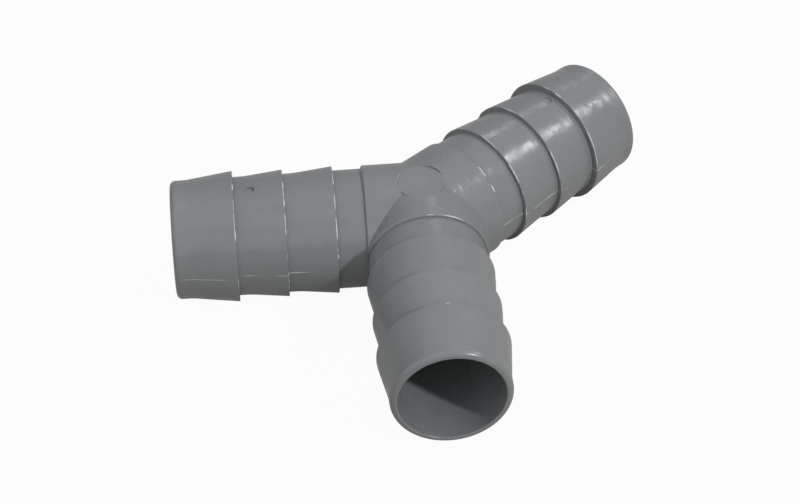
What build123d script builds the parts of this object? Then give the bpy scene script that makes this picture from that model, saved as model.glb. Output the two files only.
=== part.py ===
from build123d import *
import math
import os

# Tubing Y connector: three barbed hose arms in one plane, moulded in one piece around a
# plain hub, with one bore through all three. The origin is the middle of the front arm's
# mouth, and that arm runs back along +Y to the crossing, where the three axes meet. XY is
# the parting plane, which holds all three axes, and +Z is up. All sizes in millimetres.

# Arm directions, in plan.
front_to_left_angle = 92.0
front_to_right_angle = 126.0

# Places along one arm, from the crossing outwards.
hub_length = 12.0
neck_length = 6.1
barb_gap = 2.3
lead_in_length = 3.4

# Outside of one arm.
root_radius = 12.5
inner_crest_height = 0.9
tip_crest_height = 1.3
inner_cone_length = 8.2
tip_cone_length = 9.8
cone_foot_run = 1.2
tip_foot_run = 0.9
tip_edge_radius = 1.2
crest_edge_bevel = 0.12

# Hub.
hub_step_height = 0.65
hub_edge_radius = 0.45

# Bore.
wall_thickness = 1.5
mouth_edge_bevel = 0.25

# Flat round insert mark on top of the hub, a little forward of the crossing.
insert_mark_radius = 5.0
insert_mark_depth = 0.35
insert_mark_forward = 1.1

# Small ejector pin marks on top of the left and right arms, behind the tip crest.
pin_mark_radius = 1.0
pin_mark_depth = 0.25
left_pin_from_tip_crest = 3.5
right_pin_from_tip_crest = 1.8

# Worked out from the sizes above.
inner_crest_radius = root_radius + inner_crest_height
tip_crest_radius = root_radius + tip_crest_height
hub_radius = root_radius + hub_step_height
bore_radius = root_radius - wall_thickness
barb_pitch = inner_cone_length + barb_gap
inner_crest_place = hub_length + neck_length
middle_crest_place = inner_crest_place + barb_pitch
tip_crest_place = middle_crest_place + barb_pitch
arm_length = tip_crest_place + tip_cone_length + lead_in_length
inner_cone_slope = math.atan(inner_crest_height / inner_cone_length)
tip_cone_slope = math.atan(tip_crest_height / tip_cone_length)
cone_foot_radius = cone_foot_run / math.tan(inner_cone_slope / 2)
tip_foot_radius = tip_foot_run / math.tan(tip_cone_slope / 2)
crossing = Vector(0, arm_length, 0)
front_angle = -90
left_angle = front_angle - front_to_left_angle
right_angle = front_angle + front_to_right_angle
share_reach = 4 * arm_length
pin_marks = [
    (left_angle, tip_crest_place - left_pin_from_tip_crest),
    (right_angle, tip_crest_place - right_pin_from_tip_crest),
]


def outwards(angle):
    """Direction of an arm in plan, from the crossing to its mouth."""
    return Vector(1, 0, 0).rotate(Axis.Z, angle)


def section_plane(angle):
    """Upright plane through an arm's axis: local X runs out along the arm, local Y is up."""
    direction = outwards(angle)
    return Plane(origin=crossing, x_dir=direction, z_dir=direction.cross(Vector(0, 0, 1)))


def level_plane(angle, place, height):
    """Level plane over a place along an arm, at a height above its axis."""
    return Plane(origin=crossing + outwards(angle) * place + Vector(0, 0, height))


def bisector(angle, next_angle):
    """Direction midway between two arms, in which the crease between them runs in plan."""
    return outwards((angle + next_angle) / 2)


def corners_at(sketch, places, radius):
    """Corners of an arm's section at one radius and at any of the places along the arm."""
    return [
        corner
        for corner in sketch.vertices()
        if abs(corner.Y - radius) < 0.001 and any(abs(corner.X - place) < 0.001 for place in places)
    ]


# The arms. Each is one turned wall, from the hub's sleeve out to the mouth. It starts past the
# crossing and is cut to its own share of the plan, so that the three meet face to face.
arms = []
for previous_angle, angle, next_angle in [
    (left_angle, front_angle, right_angle),
    (front_angle, right_angle, left_angle + 360),
    (right_angle - 360, left_angle, front_angle),
]:
    with BuildPart() as arm:
        with BuildSketch(section_plane(angle)) as arm_section:
            with BuildLine():
                Polyline(
                    (-hub_radius, bore_radius),
                    (-hub_radius, hub_radius),
                    (hub_length, hub_radius),
                    (hub_length, root_radius),
                    (inner_crest_place, root_radius),
                    (inner_crest_place, inner_crest_radius),
                    (inner_crest_place + inner_cone_length, root_radius),
                    (middle_crest_place, root_radius),
                    (middle_crest_place, inner_crest_radius),
                    (middle_crest_place + inner_cone_length, root_radius),
                    (tip_crest_place, root_radius),
                    (tip_crest_place, tip_crest_radius),
                    (tip_crest_place + tip_cone_length, root_radius),
                    (arm_length, root_radius),
                    (arm_length, bore_radius),
                    close=True,
                )
            make_face()
            inner_crests = [inner_crest_place, middle_crest_place]
            inner_feet = [place + inner_cone_length for place in inner_crests]
            fillet(corners_at(arm_section, inner_feet, root_radius), cone_foot_radius)
            tip_foot = [tip_crest_place + tip_cone_length]
            fillet(corners_at(arm_section, tip_foot, root_radius), tip_foot_radius)
            fillet(corners_at(arm_section, [hub_length], hub_radius), hub_edge_radius)
            fillet(corners_at(arm_section, [arm_length], root_radius), tip_edge_radius)
            chamfer(corners_at(arm_section, inner_crests, inner_crest_radius), crest_edge_bevel)
            chamfer(corners_at(arm_section, [tip_crest_place], tip_crest_radius), crest_edge_bevel)
            chamfer(corners_at(arm_section, [arm_length], bore_radius), mouth_edge_bevel)
        revolve(axis=Axis(crossing, outwards(angle)))
        with BuildSketch(Plane(origin=crossing)):
            with BuildLine():
                Polyline(
                    (0, 0),
                    bisector(previous_angle, angle) * share_reach,
                    bisector(angle, next_angle) * share_reach,
                    close=True,
                )
            make_face()
        extrude(amount=2 * tip_crest_radius, both=True, mode=Mode.INTERSECT)
    arms.append(arm.part)

with BuildPart() as y_connector:
    add(arms)

    # The insert mark: a flat disc that lies a little below the hub's top lines and stands
    # proud of the hollows between them.
    insert_mark_height = hub_radius - insert_mark_depth
    with BuildSketch(level_plane(front_angle, insert_mark_forward, insert_mark_height)):
        Circle(insert_mark_radius)
    extrude(amount=-(insert_mark_height - bore_radius) / 2)
    with BuildSketch(level_plane(front_angle, insert_mark_forward, insert_mark_height)):
        Circle(insert_mark_radius)
    extrude(amount=2 * insert_mark_depth, mode=Mode.SUBTRACT)

    # The pin marks.
    for angle, place in pin_marks:
        with BuildSketch(level_plane(angle, place, root_radius - pin_mark_depth)):
            Circle(pin_mark_radius)
        extrude(amount=pin_mark_depth + tip_crest_height, mode=Mode.SUBTRACT)

y_connector.part.label = "y_connector"

os.makedirs("parts", exist_ok=True)
export_step(y_connector.part, "parts/y_connector.step")
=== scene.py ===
import math

import bpy
from mathutils import Matrix, Vector


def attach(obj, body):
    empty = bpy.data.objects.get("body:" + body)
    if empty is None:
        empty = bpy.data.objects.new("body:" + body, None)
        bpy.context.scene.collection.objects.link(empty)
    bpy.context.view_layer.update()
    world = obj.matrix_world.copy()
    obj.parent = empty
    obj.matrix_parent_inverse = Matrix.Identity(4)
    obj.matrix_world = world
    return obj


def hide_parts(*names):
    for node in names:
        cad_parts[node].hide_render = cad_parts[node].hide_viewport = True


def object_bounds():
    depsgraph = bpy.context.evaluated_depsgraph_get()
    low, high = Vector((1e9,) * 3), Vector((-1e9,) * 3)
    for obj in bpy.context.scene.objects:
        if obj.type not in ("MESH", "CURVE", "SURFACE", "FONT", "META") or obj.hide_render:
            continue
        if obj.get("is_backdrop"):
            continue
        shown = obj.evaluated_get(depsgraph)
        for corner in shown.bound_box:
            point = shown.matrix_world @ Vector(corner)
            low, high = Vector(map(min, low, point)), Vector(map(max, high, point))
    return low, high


# Tubing Y connector of grey moulded plastic, on a plain pale floor in soft studio light.
# All lengths are in metres. The axes of the three arms meet at the crossing, and the parting
# plane of the mould is z = 0.

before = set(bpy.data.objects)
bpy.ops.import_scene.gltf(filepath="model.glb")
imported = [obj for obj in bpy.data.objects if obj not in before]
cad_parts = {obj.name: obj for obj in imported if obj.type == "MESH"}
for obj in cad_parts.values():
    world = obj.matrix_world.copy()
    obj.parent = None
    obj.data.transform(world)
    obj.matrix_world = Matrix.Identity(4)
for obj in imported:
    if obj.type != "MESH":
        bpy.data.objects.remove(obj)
cad_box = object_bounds()

mm = 0.001

# Sizes of one arm, from the crossing outwards, as in the CAD model. Only the crests and the
# bore's edge at the mouth differ: they are rounded here and bevelled there. A run is how far an
# edge's rounding reaches along each side.
hub_length = 12.0 * mm
inner_crest_places = [18.1 * mm, 28.6 * mm]
tip_crest_place = 39.1 * mm
arm_length = 52.3 * mm
bore_radius = 11.0 * mm
root_radius = 12.5 * mm
hub_radius = 13.15 * mm
inner_crest_radius = 13.4 * mm
tip_crest_radius = 13.8 * mm
inner_cone_length = 8.2 * mm
tip_cone_length = 9.8 * mm
cone_foot_run = 1.2 * mm
tip_foot_run = 0.9 * mm
hub_edge_run = 0.45 * mm
crest_edge_run = 0.16 * mm
tip_edge_run = 1.2 * mm
mouth_edge_run = 0.25 * mm

# Moulding marks on the upper side.
insert_mark_radius = 5.0 * mm
insert_mark_height = hub_radius - 0.35 * mm
insert_mark_forward = 1.1 * mm
pin_mark_radius = 1.0 * mm
pin_mark_height = root_radius - 0.25 * mm
left_pin_place = 35.6 * mm
right_pin_place = 37.3 * mm

# Arm directions, in plan, in degrees, and each arm with its left and its right neighbour.
front_angle = -90.0
left_angle = -182.0
right_angle = 36.0
arms = [
    (front_angle, right_angle, left_angle),
    (right_angle, left_angle, front_angle),
    (left_angle, front_angle, right_angle),
]

crossing = Vector((0, arm_length, 0))
insert_mark_middle = crossing + Vector((0, -insert_mark_forward, 0))

# How finely the housing is divided. The sleeve's steps keep the faces near the insert mark
# small, and the margin is how far beside a rounding its neighbouring points lie.
arm_sides = 144
insert_mark_sides = 128
pin_mark_sides = 48
sleeve_steps = 12
least_rounding_steps = 4
degrees_per_rounding_step = 11
rounding_margin = 0.2 * mm
sharp_above = 27  # degrees

# How close two points are when they count as one: for a crease, between the arms, and after
# the marks are cut.
crease_reach = 0.001 * mm
arm_weld_reach = 0.002 * mm
last_weld_reach = 0.004 * mm

# How tall a disc is that cuts a mark, from the mark's floor up.
cutter_height = 2 * mm


def outwards(angle):
    """Direction of an arm in plan, from the crossing to its mouth."""
    return Vector((math.cos(math.radians(angle)), math.sin(math.radians(angle)), 0))


def mitre(angle, neighbour):
    """How far out along an arm its crease with a neighbour lies, for each unit to the side."""
    between = abs(angle - neighbour) % 360
    between = min(between, 360 - between)
    return 1 / math.tan(math.radians(between) / 2)


# ---------------------------------------------------------------- node helpers


def link(tree, source, target):
    tree.links.new(source, target)


def math_node(tree, operation, *values):
    """A Math node: each value is a number or another node's output."""
    node = tree.nodes.new("ShaderNodeMath")
    node.operation = operation
    for socket, value in zip(node.inputs, values):
        if isinstance(value, (int, float)):
            socket.default_value = value
        else:
            link(tree, value, socket)
    return node.outputs["Value"]


def step_node(tree, kind, geometry, **linked):
    """A node that takes the geometry and changes it. Other linked inputs are given by name."""
    node = tree.nodes.new(kind)
    link(tree, geometry, node.inputs["Geometry"])
    for name, source in linked.items():
        link(tree, source, node.inputs[name])
    return node


def noted(tree, geometry, domain, kind, name, value):
    """The geometry with a named attribute stored on it."""
    node = step_node(tree, "GeometryNodeStoreNamedAttribute", geometry)
    node.data_type = kind
    node.domain = domain
    node.inputs["Name"].default_value = name
    link(tree, value, node.inputs["Value"])
    return node.outputs["Geometry"]


def new_geometry_tree(name, inputs):
    """A Geometry Nodes tree with the named inputs, given as name, socket type and default."""
    tree = bpy.data.node_groups.new(name, "GeometryNodeTree")
    for title, kind, default in inputs:
        socket = tree.interface.new_socket(title, in_out="INPUT", socket_type=kind)
        if default is not None:
            socket.default_value = default
    tree.interface.new_socket("Geometry", in_out="OUTPUT", socket_type="NodeSocketGeometry")
    given = tree.nodes.new("NodeGroupInput")
    result = tree.nodes.new("NodeGroupOutput")
    return tree, given, result


def end_in_material(tree, geometry, given, result):
    """Ends a tree with real meshes in the given material."""
    real = step_node(tree, "GeometryNodeRealizeInstances", geometry).outputs["Geometry"]
    paint = step_node(tree, "GeometryNodeSetMaterial", real, Material=given.outputs["Material"])
    link(tree, paint.outputs["Geometry"], result.inputs["Geometry"])


def lines_object(name, chains):
    """An object of edges alone, one chain of points after another."""
    points = []
    edges = []
    for chain in chains:
        first = len(points)
        points += [tuple(point) for point in chain]
        edges += [(first + i, first + i + 1) for i in range(len(chain) - 1)]
    mesh = bpy.data.meshes.new(name)
    mesh.from_pydata(points, edges, [])
    thing = bpy.data.objects.new(name, mesh)
    bpy.context.scene.collection.objects.link(thing)
    return thing


def grow(thing, tree, settings):
    """Runs a tree on an object and keeps what it makes as the object's own plain mesh."""
    modifier = thing.modifiers.new(tree.name, "NODES")
    modifier.node_group = tree
    for socket in tree.interface.items_tree:
        if socket.in_out == "INPUT" and socket.name in settings:
            modifier[socket.identifier] = settings[socket.name]
    bpy.context.view_layer.update()
    graph = bpy.context.evaluated_depsgraph_get()
    made = bpy.data.meshes.new_from_object(thing.evaluated_get(graph))
    thing.modifiers.clear()
    thing.data = made
    made.name = thing.name


# ---------------------------------------------------------------- materials

# The plastic's surface. A scale is a noise's number of patches in a metre, and a depth is how
# high the bumps look.
mottle_scale = 70.0
mottle_share = 0.05
gloss_scale = 210.0
smoother_by = 0.06
rougher_by = 0.10
wave_scale = 230.0
wave_depth = 0.15 * mm
ring_scale = 1100.0
ring_depth = 0.03 * mm
grain_scale = 2600.0
grain_depth = 0.004 * mm

grey = (0.216, 0.227, 0.235)
body_roughness = 0.22
# The beads' plastic is lighter than the body's. This lightness is a painted highlight along the
# edges and parting lines that the beads follow.
painted_highlight_lightness = 2.8
flash_roughness = 0.14


def bare_material(name):
    """A new material without nodes, apart from its output."""
    material = bpy.data.materials.new(name)
    material.use_nodes = True
    tree = material.node_tree
    tree.nodes.clear()
    out = tree.nodes.new("ShaderNodeOutputMaterial")
    return material, tree, out


def moulded_plastic(name, colour, roughness, turned):
    """Grey moulded plastic: a satin skin, faintly mottled and wavy. Where turned is above zero,
    it also shows the fine rings that the turned mould leaves around each arm."""
    material, tree, out = bare_material(name)
    shader = tree.nodes.new("ShaderNodeBsdfPrincipled")
    shader.inputs["IOR"].default_value = 1.5
    place = tree.nodes.new("ShaderNodeTexCoord").outputs["Object"]

    def noise(scale, detail, rough):
        node = tree.nodes.new("ShaderNodeTexNoise")
        node.inputs["Scale"].default_value = scale
        node.inputs["Detail"].default_value = detail
        node.inputs["Roughness"].default_value = rough
        link(tree, place, node.inputs["Vector"])
        return node.outputs["Fac"]

    def bump(height, depth, under):
        node = tree.nodes.new("ShaderNodeBump")
        node.inputs["Strength"].default_value = 1.0
        node.inputs["Distance"].default_value = depth
        link(tree, height, node.inputs["Height"])
        if under is not None:
            link(tree, under, node.inputs["Normal"])
        return node.outputs["Normal"]

    tint = tree.nodes.new("ShaderNodeValToRGB")
    low, high = tint.color_ramp.elements
    low.position = 0.3
    high.position = 0.7
    low.color = [c * (1 - mottle_share) for c in colour] + [1]
    high.color = [c * (1 + mottle_share) for c in colour] + [1]
    link(tree, noise(mottle_scale, detail=4.0, rough=0.55), tint.inputs["Fac"])
    link(tree, tint.outputs["Color"], shader.inputs["Base Color"])

    gloss = tree.nodes.new("ShaderNodeMapRange")
    gloss.inputs["From Min"].default_value = 0.35
    gloss.inputs["From Max"].default_value = 0.65
    gloss.inputs["To Min"].default_value = roughness - smoother_by
    gloss.inputs["To Max"].default_value = roughness + rougher_by
    link(tree, noise(gloss_scale, detail=3.0, rough=0.55), gloss.inputs["Value"])
    link(tree, gloss.outputs["Result"], shader.inputs["Roughness"])

    normal = bump(noise(wave_scale, detail=2.0, rough=0.5), wave_depth, None)
    if turned > 0:
        along = tree.nodes.new("ShaderNodeAttribute")
        along.attribute_name = "arm_place"
        rings = tree.nodes.new("ShaderNodeTexNoise")
        rings.noise_dimensions = "1D"
        rings.inputs["Scale"].default_value = ring_scale
        rings.inputs["Detail"].default_value = 2.0
        link(tree, along.outputs["Fac"], rings.inputs["W"])
        normal = bump(rings.outputs["Fac"], turned, normal)
    normal = bump(noise(grain_scale, detail=3.0, rough=0.6), grain_depth, normal)
    link(tree, normal, shader.inputs["Normal"])
    link(tree, shader.outputs["BSDF"], out.inputs["Surface"])
    return material


plastic = moulded_plastic("satin_grey_plastic", grey, body_roughness, ring_depth)
# The beads are in a lighter grey, a painted highlight on the lines and edges that they follow.
painted_highlight_grey = [c * painted_highlight_lightness for c in grey]
painted_highlight_flash_plastic = moulded_plastic("painted_highlight_flash_plastic", painted_highlight_grey, flash_roughness, 0)


# ---------------------------------------------------------------- the barbed housing


def rounded(corners):
    """Points of an open line with its corners rounded. Each corner is its place, its height
    and the run of its rounding along each side. A point close before and one close after each
    rounding keep the shading flat beside it, each at most a third of the way to the next
    rounding."""
    places = [Vector((x, y)) for x, y, run in corners]
    starts = []
    ends = []
    for i, (x, y, run) in enumerate(corners):
        before = places[max(i - 1, 0)] - places[i]
        after = places[min(i + 1, len(places) - 1)] - places[i]
        starts.append(places[i] + before.normalized() * run)
        ends.append(places[i] + after.normalized() * run)
    points = []
    for i, (x, y, run) in enumerate(corners):
        if run == 0:
            points.append(places[i])
            continue
        before = (places[i - 1] - places[i]).normalized()
        after = (places[i + 1] - places[i]).normalized()
        turn = math.pi - before.angle(after)
        radius = run / math.tan(turn / 2)
        middle = places[i] + (before + after).normalized() * math.hypot(run, radius)
        steps = max(least_rounding_steps, round(math.degrees(turn) / degrees_per_rounding_step))
        room = (starts[i] - ends[i - 1]).length
        points.append(starts[i] + before * min(rounding_margin, room / 3))
        for step in range(steps + 1):
            share = step / steps
            arc = (starts[i] - middle).lerp(ends[i] - middle, share).normalized() * radius
            points.append(middle + arc)
        room = (starts[i + 1] - ends[i]).length
        points.append(ends[i] + after * min(rounding_margin, room / 3))
    return points


def wall_section():
    """The wall's section along one arm: out along the bore, round the mouth, and back along
    the barbs and the hub's sleeve."""
    corners = [
        (0, bore_radius, 0),
        (arm_length, bore_radius, mouth_edge_run),
        (arm_length, root_radius, tip_edge_run),
    ]
    barbs = [(tip_crest_place, tip_crest_radius, tip_cone_length, tip_foot_run)]
    for place in reversed(inner_crest_places):
        barbs.append((place, inner_crest_radius, inner_cone_length, cone_foot_run))
    for place, radius, length, run in barbs:
        corners.append((place + length, root_radius, run))
        corners.append((place, radius, crest_edge_run))
        corners.append((place, root_radius, 0))
    corners.append((hub_length, root_radius, 0))
    corners.append((hub_length, hub_radius, hub_edge_run))
    for step in range(sleeve_steps - 1, -1, -1):
        corners.append((hub_length * step / sleeve_steps, hub_radius, 0))
    return rounded(corners)


def arm_tree():
    """One arm turned from the wall's section, cut to its creases with the two neighbours. Each
    row of the grid is one point of the section, carried round the arm."""
    inputs = [
        ("Section", "NodeSocketGeometry", None),
        ("Section points", "NodeSocketInt", 2),
        ("Sides", "NodeSocketInt", arm_sides),
        ("Left mitre", "NodeSocketFloat", 1.0),
        ("Right mitre", "NodeSocketFloat", 1.0),
        ("Direction", "NodeSocketFloat", 0.0),
        ("Crossing", "NodeSocketVector", None),
    ]
    tree, given, result = new_geometry_tree("barbed_arm", inputs)
    around = math_node(tree, "ADD", given.outputs["Sides"], 1)
    grid = tree.nodes.new("GeometryNodeMeshGrid")
    link(tree, given.outputs["Section points"], grid.inputs["Vertices X"])
    link(tree, around, grid.inputs["Vertices Y"])

    # Which row a point is in, its turn around the arm, and its place on the section.
    index = tree.nodes.new("GeometryNodeInputIndex").outputs["Index"]
    rows = math_node(tree, "DIVIDE", math_node(tree, "ADD", index, 0.5), around)
    row = math_node(tree, "FLOOR", rows)
    side = math_node(tree, "SUBTRACT", index, math_node(tree, "MULTIPLY", row, around))
    whole_turns = math_node(tree, "MULTIPLY", side, 2 * math.pi)
    turn = math_node(tree, "DIVIDE", whole_turns, given.outputs["Sides"])
    sample = tree.nodes.new("GeometryNodeSampleIndex")
    sample.data_type = "FLOAT_VECTOR"
    link(tree, given.outputs["Section"], sample.inputs["Geometry"])
    position = tree.nodes.new("GeometryNodeInputPosition").outputs["Position"]
    link(tree, position, sample.inputs["Value"])
    link(tree, row, sample.inputs["Index"])
    parts = tree.nodes.new("ShaderNodeSeparateXYZ")
    link(tree, sample.outputs["Value"], parts.inputs["Vector"])
    out = parts.outputs["X"]
    radius = parts.outputs["Y"]
    across = math_node(tree, "MULTIPLY", radius, math_node(tree, "COSINE", turn))
    height = math_node(tree, "MULTIPLY", radius, math_node(tree, "SINE", turn))

    # Points past a crease are moved onto it.
    is_left = math_node(tree, "GREATER_THAN", across, 0.0)
    is_right = math_node(tree, "SUBTRACT", 1.0, is_left)
    left = math_node(tree, "MULTIPLY", given.outputs["Left mitre"], is_left)
    right = math_node(tree, "MULTIPLY", given.outputs["Right mitre"], is_right)
    slope = math_node(tree, "ADD", left, right)
    crease = math_node(tree, "MULTIPLY", math_node(tree, "ABSOLUTE", across), slope)
    place = tree.nodes.new("ShaderNodeCombineXYZ")
    link(tree, math_node(tree, "MAXIMUM", out, crease), place.inputs["X"])
    link(tree, across, place.inputs["Y"])
    link(tree, height, place.inputs["Z"])
    past = math_node(tree, "SUBTRACT", crease, out)
    on_crease = math_node(tree, "GREATER_THAN", past, -crease_reach)
    wall = noted(tree, grid.outputs["Mesh"], "POINT", "BOOLEAN", "on_crease", on_crease)
    wall = noted(tree, wall, "POINT", "FLOAT", "arm_place", out)
    shape = step_node(tree, "GeometryNodeSetPosition", wall, Position=place.outputs["Vector"])
    wall = shape.outputs["Geometry"]

    # Faces with every point on a crease are left out.
    flag = tree.nodes.new("GeometryNodeInputNamedAttribute")
    flag.data_type = "BOOLEAN"
    flag.inputs["Name"].default_value = "on_crease"
    flagged = flag.outputs["Attribute"]
    trim = step_node(tree, "GeometryNodeDeleteGeometry", wall, Selection=flagged)
    trim.domain = "FACE"
    forget = step_node(tree, "GeometryNodeRemoveAttribute", trim.outputs["Geometry"])
    forget.inputs["Name"].default_value = "on_crease"

    aim = tree.nodes.new("ShaderNodeCombineXYZ")
    link(tree, given.outputs["Direction"], aim.inputs["Z"])
    move = step_node(tree, "GeometryNodeTransform", forget.outputs["Geometry"])
    link(tree, given.outputs["Crossing"], move.inputs["Translation"])
    link(tree, aim.outputs["Vector"], move.inputs["Rotation"])
    link(tree, move.outputs["Geometry"], result.inputs["Geometry"])
    return tree


def disc(tree, radius, depth, sides, centre):
    """An upright cylinder, for adding or cutting a round mark."""
    node = tree.nodes.new("GeometryNodeMeshCylinder")
    node.inputs["Vertices"].default_value = sides
    link(tree, radius, node.inputs["Radius"])
    node.inputs["Depth"].default_value = depth
    move = step_node(tree, "GeometryNodeTransform", node.outputs["Mesh"])
    move.inputs["Translation"].default_value = centre
    return move.outputs["Geometry"]


def boolean(tree, operation, base, others):
    """The base with others joined to it or cut from it."""
    node = tree.nodes.new("GeometryNodeMeshBoolean")
    node.operation = operation
    node.solver = "EXACT"
    if operation == "DIFFERENCE":
        link(tree, base, node.inputs["Mesh 1"])
        for other in others:
            link(tree, other, node.inputs["Mesh 2"])
    else:
        for other in [base] + others:
            link(tree, other, node.inputs["Mesh 2"])
    return node.outputs["Mesh"]


def welded(tree, geometry, reach):
    """The geometry with points closer than the reach made one."""
    node = step_node(tree, "GeometryNodeMergeByDistance", geometry)
    node.inputs["Distance"].default_value = reach
    return node.outputs["Geometry"]


def housing_tree():
    """Three barbed arms joined at the crossing, with the round marks on the upper side."""
    inputs = [
        ("Section", "NodeSocketGeometry", None),
        ("Section points", "NodeSocketInt", 2),
        ("Sides", "NodeSocketInt", arm_sides),
        ("Crossing", "NodeSocketVector", None),
        ("Insert mark radius", "NodeSocketFloat", insert_mark_radius),
        ("Pin mark radius", "NodeSocketFloat", pin_mark_radius),
        ("Sharp above", "NodeSocketFloat", math.radians(sharp_above)),
        ("Material", "NodeSocketMaterial", None),
    ]
    tree, given, result = new_geometry_tree("barbed_housing", inputs)
    arm = arm_tree()
    join = tree.nodes.new("GeometryNodeJoinGeometry")
    for angle, left, right in arms:
        node = tree.nodes.new("GeometryNodeGroup")
        node.node_tree = arm
        for name in ("Section", "Section points", "Sides", "Crossing"):
            link(tree, given.outputs[name], node.inputs[name])
        node.inputs["Left mitre"].default_value = mitre(angle, left)
        node.inputs["Right mitre"].default_value = mitre(angle, right)
        node.inputs["Direction"].default_value = math.radians(angle)
        link(tree, node.outputs["Geometry"], join.inputs["Geometry"])
    body = welded(tree, join.outputs["Geometry"], arm_weld_reach)

    # The boss goes half way down through the wall.
    insert_size = given.outputs["Insert mark radius"]
    thick = (insert_mark_height - bore_radius) / 2
    boss_at = insert_mark_middle + Vector((0, 0, insert_mark_height - thick / 2))
    boss = disc(tree, insert_size, thick, insert_mark_sides, boss_at)
    body = boolean(tree, "UNION", body, [boss])
    hollow_at = insert_mark_middle + Vector((0, 0, insert_mark_height + cutter_height / 2))
    cuts = [disc(tree, insert_size, cutter_height, insert_mark_sides, hollow_at)]
    pin_size = given.outputs["Pin mark radius"]
    for angle, place in [(left_angle, left_pin_place), (right_angle, right_pin_place)]:
        at = crossing + outwards(angle) * place
        at += Vector((0, 0, pin_mark_height + cutter_height / 2))
        cuts.append(disc(tree, pin_size, cutter_height, pin_mark_sides, at))
    body = boolean(tree, "DIFFERENCE", body, cuts)
    body = welded(tree, body, last_weld_reach)

    smooth = step_node(tree, "GeometryNodeSetShadeSmooth", body).outputs["Geometry"]
    bend = tree.nodes.new("GeometryNodeInputMeshEdgeAngle").outputs["Unsigned Angle"]
    sharp = math_node(tree, "GREATER_THAN", bend, given.outputs["Sharp above"])
    body = noted(tree, smooth, "EDGE", "BOOLEAN", "sharp_edge", sharp)
    end_in_material(tree, body, given, result)
    return tree


section = wall_section()
housing = lines_object("barbed_housing", [[(x, y, 0) for x, y in section]])
sizes = {
    "Section points": len(section),
    "Sides": arm_sides,
    "Crossing": list(crossing),
    "Insert mark radius": insert_mark_radius,
    "Pin mark radius": pin_mark_radius,
    "Sharp above": math.radians(sharp_above),
    "Material": plastic,
}
grow(housing, housing_tree(), sizes)
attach(housing, "root")
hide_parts("y_connector")


# ---------------------------------------------------------------- parting lines and edges

# How far beads lie inside the corner they follow.
crest_bead_inset = 0.06 * mm
crest_nib_inset = 0.05 * mm
hub_nib_inset = 0.10 * mm

# How far round the mouth's edge the parting line goes, as a share of the edge's run.
mouth_share = 0.7

# How finely the lines are divided: a step in degrees for a whole circle, or a nib's steps.
ring_step = 2
rim_step = 5
nib_steps = 8

# How finely the beads are divided, and how noise becomes their radius. It mostly lies between
# two values, each seed moves it on by a step, and a higher power makes a shorter taper.
bead_spacing = 0.4 * mm
bead_sides = 8
thinnest_bead = 0.004 * mm
noise_low = 0.38
noise_high = 0.62
seed_step = 7.3
taper_power = 6.0


def arm_point(angle, place, across, height):
    """A point given by its place out along an arm, how far to the left and how high."""
    left = Vector((-outwards(angle).y, outwards(angle).x, 0))
    return crossing + outwards(angle) * place + left * across + Vector((0, 0, height))


def flank(angle, side, neighbour):
    """The line at z = 0 down one flank of an arm, from its crease with a neighbour to the
    mouth's rounded edge."""
    slope = mitre(angle, neighbour)
    lowest = root_radius - tip_edge_run * mouth_share
    outside = [point for point in section if point.y > lowest]
    return [arm_point(angle, x, side * y, 0) for x, y in outside if x > y * slope]


def ring(angle, place, radius, left, right):
    """A circle around an arm, without what lies past the creases with the two neighbours. It
    starts at the bottom."""
    chains = [[]]
    for step in range(360 // ring_step + 1):
        turn = math.radians(ring_step * step) - math.pi / 2
        across = radius * math.cos(turn)
        slope = mitre(angle, left if across > 0 else right)
        if abs(across) * slope > place:
            chains.append([])
        else:
            chains[-1].append(arm_point(angle, place, across, radius * math.sin(turn)))
    return [chain for chain in chains if len(chain) > 2]


def arc(angle, place, radius, first, last):
    """Part of a circle around an arm, from one turn to another in degrees, where 90 is the
    top and 0 is the arm's left flank."""
    points = []
    for step in range(nib_steps + 1):
        turn = math.radians(first + (last - first) * step / nib_steps)
        points.append(arm_point(angle, place, radius * math.cos(turn), radius * math.sin(turn)))
    return points


def insert_mark_rim():
    """The upper edge of the insert mark's disc."""
    points = []
    for step in range(360 // rim_step + 1):
        turn = math.radians(rim_step * step)
        across = Vector((math.cos(turn), math.sin(turn), 0)) * insert_mark_radius
        points.append(insert_mark_middle + across + Vector((0, 0, insert_mark_height)))
    return points


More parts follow.
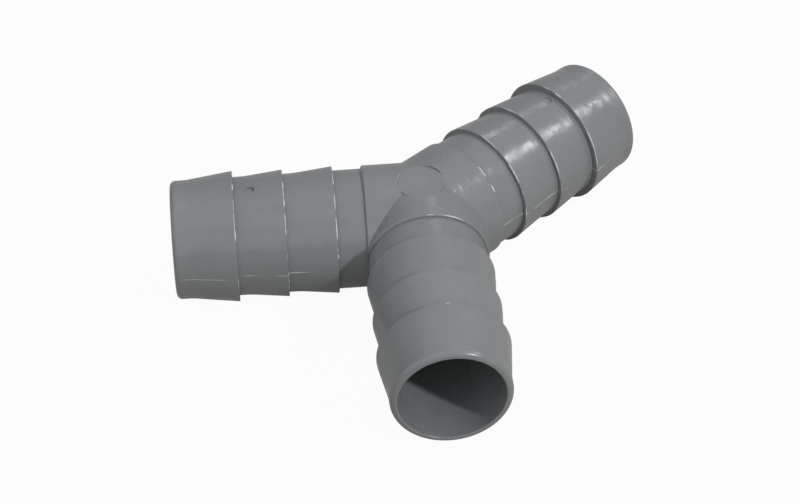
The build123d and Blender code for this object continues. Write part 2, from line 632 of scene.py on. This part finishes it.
def bead_tree():
    """A fine bead along every line, that swells and thins unevenly and tapers at its ends."""
    inputs = [
        ("Lines", "NodeSocketGeometry", None),
        ("Spacing", "NodeSocketFloat", bead_spacing),
        ("Least radius", "NodeSocketFloat", 0.02 * mm),
        ("Most radius", "NodeSocketFloat", 0.1 * mm),
        ("Patch size", "NodeSocketFloat", 4 * mm),
        ("Seed", "NodeSocketInt", 1),
        ("Material", "NodeSocketMaterial", None),
    ]
    tree, given, result = new_geometry_tree("uneven_bead", inputs)
    curve = tree.nodes.new("GeometryNodeMeshToCurve")
    link(tree, given.outputs["Lines"], curve.inputs["Mesh"])
    even = tree.nodes.new("GeometryNodeResampleCurve")
    even.mode = "LENGTH"
    link(tree, curve.outputs["Curve"], even.inputs["Curve"])
    link(tree, given.outputs["Spacing"], even.inputs["Length"])

    swell = tree.nodes.new("ShaderNodeTexNoise")
    swell.noise_dimensions = "4D"
    swell.inputs["Detail"].default_value = 2.0
    position = tree.nodes.new("GeometryNodeInputPosition").outputs["Position"]
    scale = math_node(tree, "DIVIDE", 1.0, given.outputs["Patch size"])
    shift = math_node(tree, "MULTIPLY", given.outputs["Seed"], seed_step)
    link(tree, position, swell.inputs["Vector"])
    link(tree, scale, swell.inputs["Scale"])
    link(tree, shift, swell.inputs["W"])
    thick = tree.nodes.new("ShaderNodeMapRange")
    thick.inputs["From Min"].default_value = noise_low
    thick.inputs["From Max"].default_value = noise_high
    link(tree, swell.outputs["Fac"], thick.inputs["Value"])
    link(tree, given.outputs["Least radius"], thick.inputs["To Min"])
    link(tree, given.outputs["Most radius"], thick.inputs["To Max"])

    along = tree.nodes.new("GeometryNodeSplineParameter").outputs["Factor"]
    off_middle = math_node(tree, "ABSOLUTE", math_node(tree, "MULTIPLY_ADD", along, 2.0, -1.0))
    lost = math_node(tree, "POWER", off_middle, taper_power)
    taper = math_node(tree, "SUBTRACT", 1.0, lost)
    radius = math_node(tree, "MULTIPLY", thick.outputs["Result"], taper)
    radius = math_node(tree, "MAXIMUM", radius, thinnest_bead)

    round_section = tree.nodes.new("GeometryNodeCurvePrimitiveCircle")
    round_section.inputs["Resolution"].default_value = bead_sides
    round_section.inputs["Radius"].default_value = 1.0
    sweep = tree.nodes.new("GeometryNodeCurveToMesh")
    link(tree, round_section.outputs["Curve"], sweep.inputs["Profile Curve"])
    sweep.inputs["Fill Caps"].default_value = True
    link(tree, even.outputs["Curve"], sweep.inputs["Curve"])
    link(tree, radius, sweep.inputs["Scale"])
    smooth = step_node(tree, "GeometryNodeSetShadeSmooth", sweep.outputs["Mesh"])
    end_in_material(tree, smooth.outputs["Geometry"], given, result)
    return tree


uneven_bead = bead_tree()


def bead(name, chains, least, most, patch, seed):
    """Lays a bead along the given lines as part of the moulding, in the lighter plastic that
    paints a highlight on it. Where the least radius is below zero, the bead comes and goes."""
    thing = lines_object(name, chains)
    sizes = {
        "Spacing": bead_spacing,
        "Least radius": least,
        "Most radius": most,
        "Patch size": patch,
        "Seed": seed,
        "Material": painted_highlight_flash_plastic,
    }
    grow(thing, uneven_bead, sizes)
    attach(thing, "root")


crests = [(place, inner_crest_radius) for place in inner_crest_places]
crests.append((tip_crest_place, tip_crest_radius))

parting_lines = []
crest_edges = []
for angle, left, right in arms:
    parting_lines += [flank(angle, 1, left), flank(angle, -1, right)]
    if angle != front_angle:
        for place, radius in crests:
            at = place + crest_bead_inset
            crest_edges += ring(angle, at, radius - crest_bead_inset, left, right)

# Painted glints: short beads of the lighter plastic on the edges, where the edges catch the
# light. Each is the arm, the edge, and the turns where it starts and ends.
hub_edge = (hub_length - hub_nib_inset, hub_radius - hub_nib_inset)
first_crest, middle_crest, tip_crest = [
    (place + crest_nib_inset, radius - crest_nib_inset) for place, radius in crests
]
nibs = [
    (front_angle, tip_crest, 84, 89),
    (front_angle, hub_edge, 83, 91),
    (front_angle, hub_edge, 54, 75),
    (right_angle, hub_edge, 112, 125),
    (right_angle, hub_edge, 133, 142),
    (right_angle, tip_crest, 91, 101),
    (right_angle, tip_crest, 138, 164),
    (right_angle, middle_crest, 136, 160),
    (right_angle, first_crest, 126, 147),
    (left_angle, tip_crest, 86, 95),
    (left_angle, tip_crest, 37, 48),
    (left_angle, middle_crest, 86, 95),
    (left_angle, middle_crest, 66, 75),
    (left_angle, middle_crest, 40, 47),
    (left_angle, first_crest, 86, 93),
    (left_angle, first_crest, 65, 73),
    (left_angle, first_crest, 32, 49),
    (left_angle, first_crest, 14, 20),
]
painted_glint_nibs = [arc(angle, *edge, first, last) for angle, edge, first, last in nibs]

# The lighter plastic of these beads paints highlights along the parting lines, the crest edges
# and the insert mark's rim, and glints at the nibs.
bead("parting_line", parting_lines, least=-0.03 * mm, most=0.08 * mm, patch=6 * mm, seed=6)
bead("crest_edges", crest_edges, least=-0.07 * mm, most=0.10 * mm, patch=3.5 * mm, seed=8)
bead("painted_glint_nibs", painted_glint_nibs, least=0.10 * mm, most=0.17 * mm, patch=1.5 * mm, seed=4)
rim = [insert_mark_rim()]
bead("insert_mark_edge", rim, least=-0.10 * mm, most=0.10 * mm, patch=4 * mm, seed=7)


# ---------------------------------------------------------------- floor, light and camera

# Shares of plain white in the background: where the floor and the room are seen directly or
# through a clear part, and where they are reflected.
floor_white_seen = 0.96
room_white_seen = 1.0
white_reflected = 0.15

floor_reach = 3.0
floor_drop = 0.1 * mm
floor_paint = (0.37, 0.35, 0.31, 1)
room_colour = (0.97, 1.0, 1.04, 1)
room_strength = 0.26

# Each light's name, its direction from the object in degrees (the azimuth is 0 in front, and
# grows towards the right), its distance, its width and depth, and its power in watts.
light_target = Vector((-0.005, 0.045, 0))
lights = [
    ("window", 46, 38, 1.5, 0.10, 0.10, 10.0),
    ("side_window", 104, 42, 1.2, 0.28, 0.19, 2.3),
    ("side_panel", 100, 42, 1.2, 0.7, 0.5, 0.3),
    ("back_window", 163, 34, 1.2, 0.15, 0.15, 0.25),
    ("left_panel", -72, 46, 1.2, 1.4, 1.4, 2.9),
    ("top_panel", 0, 89, 1.2, 1.2, 1.2, 1.05),
    ("front_panel", -10, 30, 1.2, 1.0, 0.7, 1.2),
    ("left_low_panel", -95, 16, 1.2, 1.0, 0.5, 0.9),
    ("rear_panel", 180, 60, 1.2, 1.6, 1.0, 1.3),
]

camera_azimuth = -5.70
camera_elevation = 42.63
camera_roll = -1.33
camera_distance = 601.55 * mm
camera_target = Vector((-5.359 * mm, 44.141 * mm, 0))
sensor_width = 36.0  # millimetres, as is the lens length
lens_length = 129.3
nearest_seen = 0.01


def whiteness(tree, seen):
    """How much plain white a ray finds in the background."""
    path = tree.nodes.new("ShaderNodeLightPath").outputs
    through = math_node(tree, "MAXIMUM", path["Is Camera Ray"], path["Is Transmission Ray"])
    glossy = math_node(tree, "MULTIPLY", path["Is Glossy Ray"], white_reflected)
    return math_node(tree, "MAXIMUM", math_node(tree, "MULTIPLY", through, seen), glossy)


def mixed(tree, share, first, second):
    """One shader with a share of a second mixed in."""
    mix = tree.nodes.new("ShaderNodeMixShader")
    link(tree, share, mix.inputs["Fac"])
    link(tree, first, mix.inputs[1])
    link(tree, second, mix.inputs[2])
    return mix.outputs["Shader"]


def pale_floor(name):
    """A pale floor that is plain white to the eye, less a small share that takes the shadow."""
    material, tree, out = bare_material(name)
    paint = tree.nodes.new("ShaderNodeBsdfDiffuse")
    paint.inputs["Color"].default_value = floor_paint
    white = tree.nodes.new("ShaderNodeEmission").outputs["Emission"]
    share = whiteness(tree, floor_white_seen)
    link(tree, mixed(tree, share, paint.outputs["BSDF"], white), out.inputs["Surface"])
    return material


def plain_room(name):
    """A dim even room that is plain white where it is seen."""
    world = bpy.data.worlds.new(name)
    world.use_nodes = True
    tree = world.node_tree
    tree.nodes.clear()
    out = tree.nodes.new("ShaderNodeOutputWorld")
    room = tree.nodes.new("ShaderNodeBackground")
    room.inputs["Color"].default_value = room_colour
    room.inputs["Strength"].default_value = room_strength
    white = tree.nodes.new("ShaderNodeBackground")
    white.inputs["Color"].default_value = (1, 1, 1, 1)
    share = whiteness(tree, room_white_seen)
    sides = (room.outputs["Background"], white.outputs["Background"])
    link(tree, mixed(tree, share, *sides), out.inputs["Surface"])
    return world


def away(azimuth, elevation):
    """Direction from the object, where azimuth 0 is in front and grows towards the right."""
    a = math.radians(azimuth)
    e = math.radians(elevation)
    return Vector((math.sin(a) * math.cos(e), -math.cos(a) * math.cos(e), math.sin(e)))


def soft_light(name, azimuth, elevation, distance, width, depth, power):
    """An area light that faces the object."""
    light = bpy.data.lights.new(name, "AREA")
    light.shape = "RECTANGLE"
    light.size = width
    light.size_y = depth
    light.energy = power
    direction = away(azimuth, elevation)
    lamp = bpy.data.objects.new(name, light)
    lamp.location = light_target + direction * distance
    lamp.rotation_euler = direction.to_track_quat("Z", "Y").to_euler()
    bpy.context.scene.collection.objects.link(lamp)


floor_mesh = bpy.data.meshes.new("floor")
height = cad_box[0][2] - floor_drop
corners = [(-1, -1), (1, -1), (1, 1), (-1, 1)]
points = [(x * floor_reach, y * floor_reach, height) for x, y in corners]
floor_mesh.from_pydata(points, [], [(0, 1, 2, 3)])
floor = bpy.data.objects.new("floor", floor_mesh)
bpy.context.scene.collection.objects.link(floor)
floor_mesh.materials.append(pale_floor("pale_floor"))
floor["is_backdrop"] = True

bpy.context.scene.world = plain_room("studio")

for light in lights:
    soft_light(*light)

back = away(camera_azimuth, camera_elevation)
right = (-back).cross(Vector((0, 0, 1))).normalized()
up = right.cross(-back)
turn = Matrix.Rotation(math.radians(camera_roll), 3, back)
right = turn @ right
up = turn @ up
lens = bpy.data.cameras.new("camera")
lens.sensor_width = sensor_width
lens.lens = lens_length
lens.clip_start = nearest_seen
camera = bpy.data.objects.new("camera", lens)
basis = Matrix((right, up, back)).transposed().to_4x4()
camera.matrix_world = Matrix.Translation(camera_target + back * camera_distance) @ basis
bpy.context.scene.collection.objects.link(camera)
bpy.context.scene.camera = camera

bpy.context.scene.view_settings.view_transform = "Standard"

bpy.context.view_layer.update()
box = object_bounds()
sizes = {
    "cad": [list(map(float, corner)) for corner in cad_box],
    "visual": [list(map(float, corner)) for corner in box],
}
